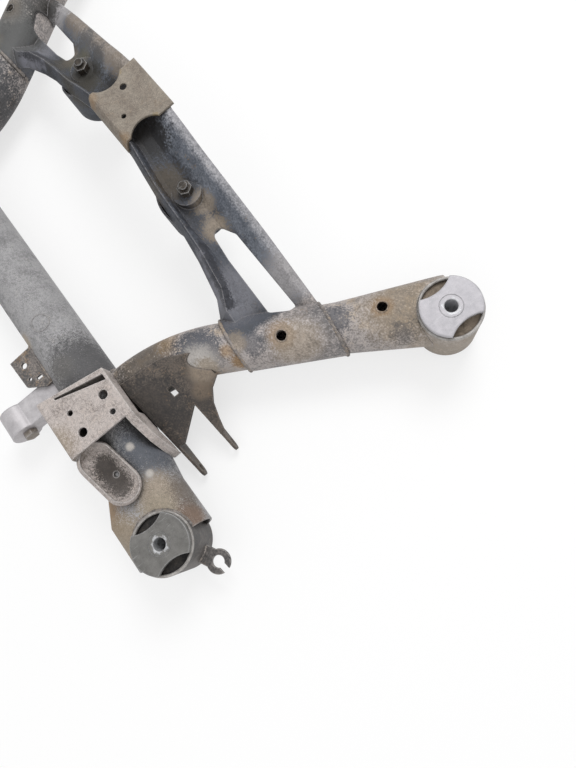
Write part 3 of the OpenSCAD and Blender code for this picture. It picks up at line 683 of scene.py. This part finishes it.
clevis_paint = worn_paint(
    "clevis_paint", coat=(0.045, 0.037, 0.032), worn=(0.105, 0.085, 0.070), rust=(0.15, 0.092, 0.058),
    dust=(0.15, 0.115, 0.085), worn_share=0.48, rust_share=0.22, dust_share=0.32, spots=clevis_spots,
    edge=(0.24, 0.205, 0.18))
print("bracket, saddle and clevis painted")

# %% [markdown]
# ## Tabs, sleeves and clips
# The tabs on the cross tube are plain rusty sheet. The front sleeves and the clips beside them are darker
# with oily dirt. Spots could be added, but none of these has a mark with a known place, so noise alone
# dresses them.

# %% Tab and sleeve paint
tab_paint = worn_paint(
    "tab_paint", coat=(0.085, 0.080, 0.078), worn=(0.21, 0.185, 0.17), rust=(0.20, 0.125, 0.07),
    dust=(0.27, 0.22, 0.17), worn_share=0.5, rust_share=0.35, dust_share=0.35)
sooty_paint = worn_paint(
    "sooty_paint", coat=(0.064, 0.061, 0.060), worn=(0.150, 0.136, 0.128), rust=(0.11, 0.070, 0.044),
    dust=(0.19, 0.160, 0.135), worn_share=0.5, rust_share=0.22, dust_share=0.25)
print("painted groups:", [m.name for m in bpy.data.materials if m.name.endswith("_paint")])

# %% [markdown]
# ## Bare metal
# The bushing cores are bare aluminium, with a painted highlight round the bolt bore for the light on the
# bore's chamfer. A second material on a cut-out disc would leave a hard line, so the bright ring is found
# by distance from the bore on the folded place, and one finish serves both sides. The bores come from the
# frame's record.
# The rear cores are clean and the front ones grey with dirt. Noise drawn out along one way gives scratches.

# %% Bare metal
mounts = {mount["name"]: mount["pos_m"] for mount in frame["record"]["mounts"]}
MOUNT_X, MOUNT_Y = mounts["body_rear_left"][:2]
HIGHLIGHT_RING_R = 0.0135
HIGHLIGHT_RING_RAG = 0.9
METAL_SHARE = 0.45
STAIN_SIZE = 0.012
METAL_GRAIN = 0.0012
GRAIN_SHARE = 0.3
SCRATCH_WIDTH = 0.0018
SCRATCH_SCALE = (1.0, 0.08, 1.0)
SCRATCH_TURN = (0.0, 0.0, 0.6)
FLATTEN = (1.0, 1.0, 0.0)
SCRATCH_BRIGHT = (0.60, 0.60, 0.61)
BORE_HIGHLIGHT = (0.64, 0.65, 0.67)
EDGE_HIGHLIGHT = (0.66, 0.66, 0.67)


def scratches(tree, place):
    """Thin lines along one slanted way."""
    stretch = tree.nodes.new("ShaderNodeMapping")
    stretch.inputs["Scale"].default_value = SCRATCH_SCALE
    stretch.inputs["Rotation"].default_value = SCRATCH_TURN
    tree.links.new(place, stretch.inputs["Vector"])
    lines = noise(tree, stretch.outputs["Vector"], SCRATCH_WIDTH, detail=2.0)
    return mask(tree, lines, low=0.63, high=0.68)


def bore_highlight_ring(tree, place, bore, mottled):
    """A ragged disc round a bolt bore, at any height, for a painted highlight."""
    level = vector_step(tree, "MULTIPLY", folded(tree, place), FLATTEN)["Vector"]
    ragged = faded(tree, spread(tree, mottled), HIGHLIGHT_RING_RAG)
    border = join(tree, "ADD", near(tree, level, bore, HIGHLIGHT_RING_R), ragged)
    return mask(tree, border, low=1.24, high=1.10)


def bare_metal(name, dark, light, shine, bore=None):
    """Bare metal with stains, scratches and a painted highlight on its edges, and a painted highlight round
    a bore if one is given.
    """
    material, tree, shader = new_finish(name)
    place = place_of(tree)
    stain = noise(tree, place, STAIN_SIZE, detail=8.0, rough=0.70)
    mottled = weigh(tree, stain, noise(tree, place, METAL_GRAIN, detail=3.0), share=GRAIN_SHARE)
    colour = blend(tree, mask(tree, mottled, low=0.38, high=0.62), dark, light)
    colour = lay(tree, SCRATCH_BRIGHT, over=colour, through=scratches(tree, place), strength=0.25)
    if bore:
        # painted highlight round the bore
        mark = bore_highlight_ring(tree, place, bore, mottled)
        colour = lay(tree, BORE_HIGHLIGHT, over=colour, through=mark, strength=0.7)
    rounded = edge_normal(tree)
    # a painted highlight on the edges of the bare metal
    colour = lay(tree, EDGE_HIGHLIGHT, over=colour, through=edge_mask(tree, rounded), strength=0.5)
    tree.links.new(colour, shader.inputs["Base Color"])
    shader.inputs["Metallic"].default_value = METAL_SHARE
    roughness = mask(tree, mottled, low=0.9 * shine - 0.55, high=0.9 * shine + 0.85)
    tree.links.new(roughness, shader.inputs["Roughness"])
    relief(tree, shader, rounded, mottled, distance=0.0004, strength=0.5)
    return material


rear_alloy = bare_metal("rear_alloy", dark=(0.30, 0.293, 0.312), light=(0.505, 0.490, 0.515), shine=0.35,
                        bore=(MOUNT_X, MOUNT_Y, 0.0))
front_alloy = bare_metal("front_alloy", dark=(0.126, 0.123, 0.116), light=(0.222, 0.216, 0.206), shine=0.25,
                         bore=(MOUNT_X, -MOUNT_Y, 0.0))
cast_alloy = bare_metal("cast_alloy", dark=(0.42, 0.403, 0.415), light=(0.60, 0.578, 0.59), shine=0.3)
zinc = bare_metal("zinc", dark=(0.14, 0.11, 0.085), light=(0.34, 0.31, 0.28), shine=0.35)
grimy_steel = bare_metal("grimy_steel", dark=(0.020, 0.018, 0.016), light=(0.085, 0.070, 0.055), shine=0.45)
print("bores at", MOUNT_X, "and", MOUNT_Y, "m from the middle")

# %% [markdown]
# ## Rubber
# The bushings' rubber is nearly black in front and full of pale road dust at the rear. Rubber has no paint
# to wear off and no bright edge, so a dull surface with one bloom of dust is enough.

# %% Rubber
BLOOM_SIZE = 0.018
RUBBER_GRAIN = 0.002
RUBBER_ROUGH = 0.8


def rubber_finish(name, clean, dusty, low, high):
    """Matte rubber with a bloom of dust, cut between a low and a high value of the noise."""
    material, tree, shader = new_finish(name)
    place = place_of(tree)
    bloom = noise(tree, place, BLOOM_SIZE, detail=7.0, rough=0.7)
    bloom = weigh(tree, bloom, noise(tree, place, RUBBER_GRAIN), share=GRAIN_SHARE)
    tree.links.new(blend(tree, mask(tree, bloom, low, high), clean, dusty), shader.inputs["Base Color"])
    shader.inputs["Roughness"].default_value = RUBBER_ROUGH
    relief(tree, shader, edge_normal(tree), bloom, distance=0.0008)
    return material


black_rubber = rubber_finish("black_rubber", clean=(0.010, 0.010, 0.011), dusty=(0.06, 0.052, 0.045),
                             low=0.45, high=0.62)
dusty_rubber = rubber_finish("dusty_rubber", clean=(0.07, 0.055, 0.04), dusty=(0.26, 0.21, 0.16),
                             low=0.36, high=0.56)
print("two rubbers ready")

# %% [markdown]
# ## Dressing the nodes
# The real frame was welded and painted whole, and its bushings, stays and differential mounts were pressed
# or bolted in later, so each group of nodes gets the finish of its group. Copies of the meshes could be
# dressed instead, but a CAD node that keeps its own mesh can't drift from the frame.

# %% Assign finishes
FINISH_OF = {
    "cross_tube": cross_paint, "side_tube": side_paint, "rear_crossmember": channel_paint,
    "saddle_plate": saddle_paint, "arm_bracket": bracket_paint, "lower_clevis": clevis_paint,
    "front_sleeve": sooty_paint, "rear_sleeve": side_paint, "front_rubber": black_rubber,
    "rear_rubber": dusty_rubber, "front_core": front_alloy, "rear_core": rear_alloy,
    "hook_clip": sooty_paint, "tab_bracket": tab_paint, "stay_arm": cast_alloy, "stay_bolt": zinc,
    "diff_cup": channel_paint, "diff_rubber": black_rubber, "diff_stud": grimy_steel,
    "diff_nut": grimy_steel,
}
for name, piece in nodes.items():
    base = name.removesuffix("_left").removesuffix("_right")
    piece.data.materials.clear()
    piece.data.materials.append(FINISH_OF[base])
print("dressed", len(nodes), "nodes")

# %% [markdown]
# ## From a shape to a piece
# One function does this, so that no piece is forgotten. The object stays at the origin and the mesh
# holds its place, as in a CAD node.

# %% Piece maker
def frame_piece(name, shape, finish):
    """Turn a finished shape into a smooth piece that rides on the frame."""
    mesh = bpy.data.meshes.new(name)
    shape.to_mesh(mesh)
    shape.free()
    mesh.shade_smooth()
    mesh.materials.append(finish)
    piece = bpy.data.objects.new(name, mesh)
    scene.collection.objects.link(piece)
    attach(piece, "root")


print("piece maker ready")

# %% [markdown]
# ## Weld beads
# The pieces are joined by hand-laid welds: raised, rippled cords of metal along each seam. A bead is a
# small ring pushed along the seam, a little fatter and thinner at each step. Extruding one ring keeps
# the bead a clean closed tube, and a real mesh catches the light where a painted line would not.

# %% Bead maker
BEAD_SIDES = 8
BEAD_TAPER = 0.3
SHORT_WAVE = 0.13
SHORT_PACE = 1.7
LONG_WAVE = 0.10
LONG_PACE = 0.61


def ring_at(point, along, radius):
    """Place of a ring across a seam."""
    turn = along.to_track_quat("Z", "Y").to_matrix().to_4x4()
    return Matrix.Translation(point) @ turn @ Matrix.Diagonal((radius, radius, radius, 1.0))


def rippled(radius, step):
    """Radius of a bead at a step, swelling in two waves that never quite repeat."""
    return radius * (1.0 + SHORT_WAVE * math.sin(SHORT_PACE * step) + LONG_WAVE * math.sin(LONG_PACE * step))


def weld_bead(name, points, radius, finish):
    """Push a ring along the points, rippled like laid weld metal and tapered at both ends."""
    shape = bmesh.new()
    ring = bmesh.ops.create_circle(shape, segments=BEAD_SIDES, radius=1.0, cap_ends=True)["verts"]
    edges = shape.edges[:]
    spots = [Vector(p) for p in points]
    last = len(spots) - 1
    radii = [BEAD_TAPER * radius if i in (0, last) else rippled(radius, i) for i in range(last + 1)]
    ways = [(spots[min(i + 1, last)] - spots[max(i - 1, 0)]).normalized() for i in range(last + 1)]
    held = ring_at(spots[0], ways[0], radii[0])
    bmesh.ops.transform(shape, matrix=held, verts=ring)
    for i in range(1, last + 1):
        grown = bmesh.ops.extrude_edge_only(shape, edges=edges)["geom"]
        ring = [g for g in grown if isinstance(g, bmesh.types.BMVert)]
        edges = [g for g in grown if isinstance(g, bmesh.types.BMEdge)]
        there = ring_at(spots[i], ways[i], radii[i])
        bmesh.ops.transform(shape, matrix=there @ held.inverted(), verts=ring)
        held = there
    bmesh.ops.contextual_create(shape, geom=edges)
    bmesh.ops.recalc_face_normals(shape, faces=shape.faces)
    frame_piece(name, shape, finish)


weld_metal = worn_paint(
    "weld_metal", coat=(0.10, 0.092, 0.088), worn=(0.24, 0.215, 0.20), rust=(0.22, 0.155, 0.105),
    dust=(0.32, 0.26, 0.20), worn_share=0.6, rust_share=0.35, dust_share=0.4)
print("bead maker ready")

# %% [markdown]
# ## The way of a side tube
# A side tube stands on the cross tube, bends through an arc and runs straight to its rear mount. Beads and
# burrs on it need to know where the straight stretch starts and which way it leans. Both could be read
# off the mesh, but a tangent to the bend's circle, drawn from just inboard of the mount, gives them
# exactly.

# %% Side tube's way
TUBE_Z = -0.048
CROSS_Y = -0.197
CROSS_R = 0.040
SIDE_R = 0.034
SIDE_ROOT = 0.260
BEND_R = 0.250
AIM_IN = 0.012
bend_y = CROSS_Y + CROSS_R
aim = Vector((MOUNT_X - AIM_IN - SIDE_ROOT - BEND_R, MOUNT_Y - bend_y))
straight_len = math.sqrt(aim.length_squared - BEND_R ** 2)
lean = math.atan2(aim.x, aim.y) + math.atan2(BEND_R, straight_len)
straight_from = Vector((SIDE_ROOT + BEND_R * (1 - math.cos(lean)), bend_y + BEND_R * math.sin(lean)))
along = Vector((math.sin(lean), math.cos(lean)))
across = Vector((math.cos(lean), -math.sin(lean)))
print("side tube leans", round(math.degrees(lean), 2), "degrees")

# %% [markdown]
# ## Seams on the tubes
# Each seam is the curve where two simple shapes meet, so its points come from the sizes of the tubes: the
# side tube standing on the cross tube, and the crossmember's two edges lying across the side tube. The
# wrapped edge is a flat cut through a round tube, which is why its bead leans in an ellipse.

# %% Tube seams
SIDES = (("left", 1), ("right", -1))
SHEET = 0.003
BEAD_ON_SHEET = 0.6
WRAP_DIP = 14
FRONT_CUT = ((0.276, -0.003), (0.372, -0.015))
REAR_CUT = ((0.340, 0.112), (0.430, 0.097))
ROOT_BEAD = 0.0028
WRAP_BEAD = 0.0025


def steps(low, high, count):
    """Even steps from low to high."""
    return [low + (high - low) * i / (count - 1) for i in range(count)]


def on_both_sides(name, points, radius, finish=weld_metal):
    """Lay a bead on the left and its mirror image on the right."""
    for side, sign in SIDES:
        weld_bead(name + "_" + side, [(sign * p[0], p[1], p[2]) for p in points], radius, finish)


def root_seam():
    """Where a side tube stands on the cross tube."""
    out = []
    for a in steps(0.0, 2 * math.pi, count=72):
        rise = SIDE_R * math.sin(a)
        y = CROSS_Y + math.sqrt(CROSS_R ** 2 - rise ** 2)
        out.append((SIDE_ROOT + SIDE_R * math.cos(a), y, TUBE_Z + rise))
    return out


def wrap_seam(first, second):
    """Where an upright cut from first to second crosses the wrapped side tube."""
    cut = (Vector(second) - Vector(first)).normalized()
    facing = Vector((-cut.y, cut.x))
    reach = SIDE_R + SHEET * BEAD_ON_SHEET
    out = []
    for a in steps(math.radians(-WRAP_DIP), math.radians(180 + WRAP_DIP), count=64):
        side = reach * math.cos(a)
        gap = (Vector(first) - straight_from - across * side).dot(facing)
        spot = straight_from + across * side + along * (gap / along.dot(facing))
        out.append((spot.x, spot.y, TUBE_Z + reach * math.sin(a)))
    return out


on_both_sides("weld_root", root_seam(), ROOT_BEAD)
on_both_sides("weld_front_wrap", wrap_seam(*FRONT_CUT), WRAP_BEAD)
on_both_sides("weld_rear_wrap", wrap_seam(*REAR_CUT), WRAP_BEAD)

# %% [markdown]
# ## Seams on the brackets
# Shorter beads hold the tabs, the clips, the bracket feet and the front sleeves. They could follow the
# edges of the meshes, but a mesh has more edges than a welder has seams. Straight ones need only their two
# ends, and those round a sleeve follow its circle.

# %% Bracket seams
SLEEVE_R = 0.040
TAB_RISE = 0.020
TAB_Z = -0.0275
TAB_SPAN = (0.121, 0.185)
FOOT_FRONT_Y = -0.2385
FOOT_FRONT_Z = -0.0545
FOOT_FRONT_SPAN = (0.224, 0.309)
FOOT_REAR_Y = -0.1625
FOOT_REAR_Z = -0.0275
FOOT_REAR_SPAN = (0.242, 0.309)
CLIP_Z = -0.0575
TUBE_END_FLAT = 0.019
TUBE_END_R = 0.037
FOOT_FRONT_BEAD = 0.0030
FOOT_REAR_BEAD = 0.0028
THIN_BEAD = 0.0022
tab_y = CROSS_Y - math.sqrt(CROSS_R ** 2 - TAB_RISE ** 2)


def straight_seam(span, y, z, count):
    """Points along x over a span."""
    return [(x, y, z) for x in steps(*span, count)]


def sleeve_arc(y, z, low, high, count):
    """Points on a bushing sleeve between two directions, in degrees from +X."""
    turns = [math.radians(a) for a in steps(low, high, count)]
    return [(MOUNT_X + SLEEVE_R * math.cos(a), y + SLEEVE_R * math.sin(a), z) for a in turns]


def sleeve_top_seam():
    """Where the widened end of the cross tube meets the front sleeve."""
    out = []
    for x, y, _ in sleeve_arc(-MOUNT_Y, 0.0, low=84, high=276, count=60):
        off = max(0.0, abs(y + MOUNT_Y) - TUBE_END_FLAT)
        out.append((x, y, TUBE_Z + math.sqrt(TUBE_END_R ** 2 - off ** 2)))
    return out


tab_seam = straight_seam(TAB_SPAN, tab_y, TAB_Z, count=26)
foot_front_seam = straight_seam(FOOT_FRONT_SPAN, FOOT_FRONT_Y, FOOT_FRONT_Z, count=34)
foot_rear_seam = straight_seam(FOOT_REAR_SPAN, FOOT_REAR_Y, FOOT_REAR_Z, count=28)
clip_seam = sleeve_arc(-MOUNT_Y, CLIP_Z, low=12, high=44, count=18)
on_both_sides("weld_tab", tab_seam, THIN_BEAD)
on_both_sides("weld_bracket_front", foot_front_seam, FOOT_FRONT_BEAD)
on_both_sides("weld_bracket_rear", foot_rear_seam, FOOT_REAR_BEAD)
on_both_sides("weld_clip", clip_seam, THIN_BEAD)
on_both_sides("weld_front_sleeve", sleeve_top_seam(), THIN_BEAD)

# %% [markdown]
# ## Rings round the mounts
# Each bushing sleeve is a piece of tube with a rolled rim, which shows as a bright line in the hollows of
# the plate above it. The plate has a fine turned ring round its bore, where the bolt's washer seats. A
# small circle spun once round the bolt's axis gives a whole ring, and the last copy is merged with the
# first so that the ring closes.

# %% Rings round the mounts
RIM_R = 0.03825
RIM_WIRE = 0.0021
RIM_Z = -0.0100
SEAT_R = 0.0142
SEAT_WIRE = 0.0005
RING_STEPS = 56
RING_SIDES = 10


def mount_ring(name, centre, radius, wire, finish):
    """Spin a small circle round a mount's axis."""
    shape = bmesh.new()
    bmesh.ops.create_circle(shape, segments=RING_SIDES, radius=wire)
    out = Vector(centre) + Vector((radius, 0.0, 0.0))
    stand = Matrix.Translation(out) @ Matrix.Rotation(math.pi / 2, 4, "X")
    bmesh.ops.transform(shape, matrix=stand, verts=shape.verts)
    bmesh.ops.spin(shape, geom=shape.verts[:] + shape.edges[:], cent=centre, axis=(0, 0, 1),
                   angle=2 * math.pi, steps=RING_STEPS, use_merge=True)
    bmesh.ops.recalc_face_normals(shape, faces=shape.faces)
    frame_piece(name, shape, finish)


MOUNT_ENDS = (("front", -MOUNT_Y, front_alloy, "worn_alloy"), ("rear", MOUNT_Y, rear_alloy, "alloy"))
rim_metal = bare_metal("rim_metal", dark=(0.20, 0.185, 0.17), light=(0.52, 0.50, 0.48), shine=0.3)
for side, sign in SIDES:
    for end, y, alloy, slot in MOUNT_ENDS:
        x = sign * MOUNT_X
        mount_ring("rim_" + end + "_" + side, (x, y, RIM_Z), RIM_R, RIM_WIRE, rim_metal)
        mount_ring("seat_ring_" + end + "_" + side, (x, y, 0.0), SEAT_R, SEAT_WIRE, alloy)
print("rims and seats on four mounts")

# %% [markdown]
# ## Burrs and a pressed ring
# The access holes in the side tubes were punched, which leaves a raised burr round each. The front cross
# tube has a faint pressed ring on its top. All of them are thin cords lying on a round tube, so the same
# bead maker lays them, with each point set to the height of the tube below it.

# %% Burrs and ring
SIDE_WIDEN = 0.165
SIDE_END_R = 0.044
BURR_R = 0.0076
BURR_WIRE = 0.0011
FRONT_HOLE_ALONG = 0.0930
REAR_HOLE_ALONG = 0.2221
HOLE_ACROSS = 0.0070
EMBOSS_X = 0.117
EMBOSS_Y = -0.194
EMBOSS_R = 0.0125
EMBOSS_WIRE = 0.0009


def hole_burr(along_by, across_by, cover_sheet):
    """Points round an access hole, on the side tube's skin or on a sheet that covers it."""
    middle = straight_from + along * along_by + across * across_by
    out = []
    for a in steps(0.0, 2 * math.pi, count=40):
        spot = middle + Vector((math.cos(a), math.sin(a))) * BURR_R
        reach = (spot - straight_from).dot(along)
        off = (spot - straight_from).dot(across)
        wide = max(0.0, reach - SIDE_WIDEN) / (straight_len - SIDE_WIDEN)
        radius = SIDE_R + (SIDE_END_R - SIDE_R) * wide + cover_sheet
        out.append((spot.x, spot.y, TUBE_Z + math.sqrt(radius ** 2 - off ** 2)))
    return out


def pressed_ring(x, y):
    """Points of a circle on the cross tube's top."""
    turns = steps(0.0, 2 * math.pi, count=48)
    flat = [(x + EMBOSS_R * math.cos(a), y + EMBOSS_R * math.sin(a)) for a in turns]
    return [(u, v, TUBE_Z + math.sqrt(CROSS_R ** 2 - (v - CROSS_Y) ** 2)) for u, v in flat]


front_burr = hole_burr(FRONT_HOLE_ALONG, HOLE_ACROSS, cover_sheet=SHEET)
rear_burr = hole_burr(REAR_HOLE_ALONG, -HOLE_ACROSS, cover_sheet=0.0)
on_both_sides("burr_front", front_burr, BURR_WIRE, channel_paint)
on_both_sides("burr_rear", rear_burr, BURR_WIRE, side_paint)
on_both_sides("pressed_ring", pressed_ring(EMBOSS_X, EMBOSS_Y), EMBOSS_WIRE, cross_paint)
print("burrs and rings laid")

# %% [markdown]
# ## Floor
# A pale floor just under the bushing cores keeps a soft shadow. A real studio floor would be burnt out to
# white by strong light, which would bleach the metal too. So rays that see the floor directly get most of
# its white from a plain emission of strength one, and the rest from the light that falls on it.

# %% Floor
FLOOR_HALF = 6.0
FLOOR_WHITE = (0.90, 0.90, 0.90)
FLOOR_ROUGH = 0.9
FLOOR_GLOW = 0.7


def floor_finish():
    """A white that glows for rays that see it directly."""
    material, tree, shader = new_finish("floor_white")
    feed(tree, shader.inputs["Base Color"], FLOOR_WHITE)
    shader.inputs["Roughness"].default_value = FLOOR_ROUGH
    glow = tree.nodes.new("ShaderNodeEmission")
    path = tree.nodes.new("ShaderNodeLightPath")
    seen = join(tree, "MAXIMUM", path.outputs["Is Camera Ray"], path.outputs["Is Glossy Ray"])
    seen = join(tree, "MAXIMUM", seen, path.outputs["Is Transmission Ray"])
    mix = tree.nodes.new("ShaderNodeMixShader")
    tree.links.new(faded(tree, seen, FLOOR_GLOW), mix.inputs["Fac"])
    tree.links.new(shader.outputs["BSDF"], mix.inputs[1])
    tree.links.new(glow.outputs["Emission"], mix.inputs[2])
    tree.links.new(mix.outputs["Shader"], tree.nodes["Material Output"].inputs["Surface"])
    return material


def pale_floor(height):
    """A large plane under the object."""
    mesh = bpy.data.meshes.new("floor")
    shape = bmesh.new()
    bmesh.ops.create_grid(shape, x_segments=1, y_segments=1, size=FLOOR_HALF)
    bmesh.ops.translate(shape, vec=(0, 0, height), verts=shape.verts)
    shape.to_mesh(mesh)
    shape.free()
    floor = bpy.data.objects.new("floor", mesh)
    scene.collection.objects.link(floor)
    mesh.materials.append(floor_finish())


floor_height = cad_box[0][2]
pale_floor(floor_height)
print("floor at", round(floor_height, 4), "m")

# %% [markdown]
# ## Light
# The photograph has soft light from all round and hardly any shadow. A white world gives that, and two
# large lamps add a little direction, so that round tubes look round. Their power is kept low, at a level
# where a colour renders about as it is written.

# %% Lamps and world
KEY_PLACE = (-0.6, 1.4, 2.2)
KEY_SIZE = 1.2
KEY_POWER = 40
FILL_PLACE = (1.4, -1.2, 1.8)
FILL_SIZE = 2.0
FILL_POWER = 10
WORLD_WHITE = (1.0, 1.0, 1.0)
WORLD_STRENGTH = 0.68


def soft_lamp(name, place, size, power):
    """A square area lamp aimed at the middle of the object."""
    data = bpy.data.lights.new(name, "AREA")
    data.size = size
    data.energy = power
    lamp = bpy.data.objects.new(name, data)
    lamp.location = place
    lamp.rotation_euler = (-Vector(place)).to_track_quat("-Z", "Y").to_euler()
    scene.collection.objects.link(lamp)


soft_lamp("key", KEY_PLACE, KEY_SIZE, KEY_POWER)
soft_lamp("fill", FILL_PLACE, FILL_SIZE, FILL_POWER)
world = bpy.data.worlds.new("studio")
world.use_nodes = True
background = world.node_tree.nodes["Background"]
feed(world.node_tree, background.inputs["Color"], WORLD_WHITE)
feed(world.node_tree, background.inputs["Strength"], WORLD_STRENGTH)
scene.world = world
print("lit by", len(bpy.data.lights), "lamps and the world")
